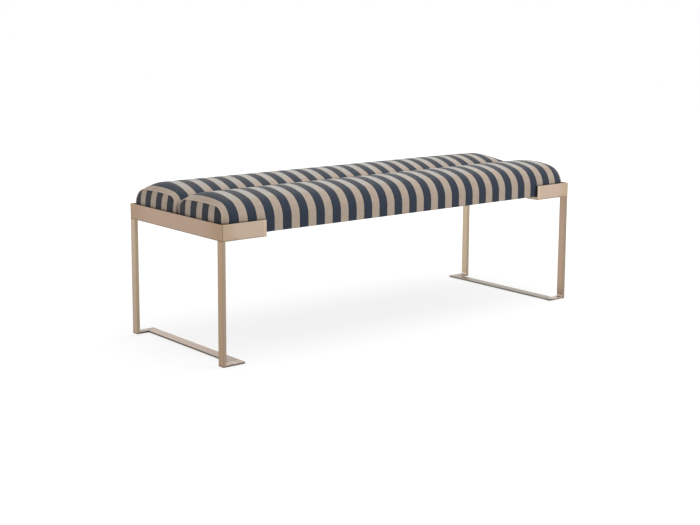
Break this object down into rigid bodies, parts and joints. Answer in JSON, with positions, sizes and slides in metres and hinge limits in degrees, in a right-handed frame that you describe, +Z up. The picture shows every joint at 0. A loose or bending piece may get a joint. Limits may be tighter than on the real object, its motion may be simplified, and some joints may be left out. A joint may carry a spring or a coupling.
{
  "type": "upholstered bench",
  "caption": "Long low bench: striped seat of twin crowned rolls with a crease between, held in brushed metal end frames with flat-bar legs, feet and floor stretchers.",
  "frame": {"origin": "on the floor, under the middle of the bench", "axes": "+X along the bench, +Y towards its rear, +Z up"},
  "size_m": [1.42, 0.5, 0.4773],
  "materials": {
    "champagne_metal": "satin brushed",
    "striped_cloth": "woven, navy and beige stripes",
    "dust_cloth": "thin black non-woven",
    "foam": "open-cell foam",
    "hardwood": "planed",
    "plywood": "sanded",
    "zinc_steel": "zinc plated",
    "glide_plastic": "matt"
  },
  "bodies": {
    "root": {"corner_blocks": "hardwood", "cross_rail_1": "hardwood", "cross_rail_2": "hardwood", "cross_rail_3": "hardwood", "dust_cover": "dust_cloth", "floor_glides": "glide_plastic", "front_cover": "striped_cloth", "front_foam_roll": "foam", "front_seat_rail": "hardwood", "left_end_ledge": "champagne_metal", "left_end_rail": "champagne_metal", "left_floor_stretcher": "champagne_metal", "left_front_end_panel": "striped_cloth", "left_front_foot": "champagne_metal", "left_front_ledge": "champagne_metal", "left_front_leg": "champagne_metal", "left_front_return": "champagne_metal", "left_rear_end_panel": "striped_cloth", "left_rear_foot": "champagne_metal", "left_rear_ledge": "champagne_metal", "left_rear_leg": "champagne_metal", "left_rear_return": "champagne_metal", "left_seat_rail": "hardwood", "rear_cover": "striped_cloth", "rear_foam_roll": "foam", "rear_seat_rail": "hardwood", "right_end_ledge": "champagne_metal", "right_end_rail": "champagne_metal", "right_floor_stretcher": "champagne_metal", "right_front_end_panel": "striped_cloth", "right_front_foot": "champagne_metal", "right_front_ledge": "champagne_metal", "right_front_leg": "champagne_metal", "right_front_return": "champagne_metal", "right_rear_end_panel": "striped_cloth", "right_rear_foot": "champagne_metal", "right_rear_ledge": "champagne_metal", "right_rear_leg": "champagne_metal", "right_rear_return": "champagne_metal", "right_seat_rail": "hardwood", "seat_deck": "plywood", "seat_screws": "zinc_steel"}
  },
  "joints": []
}
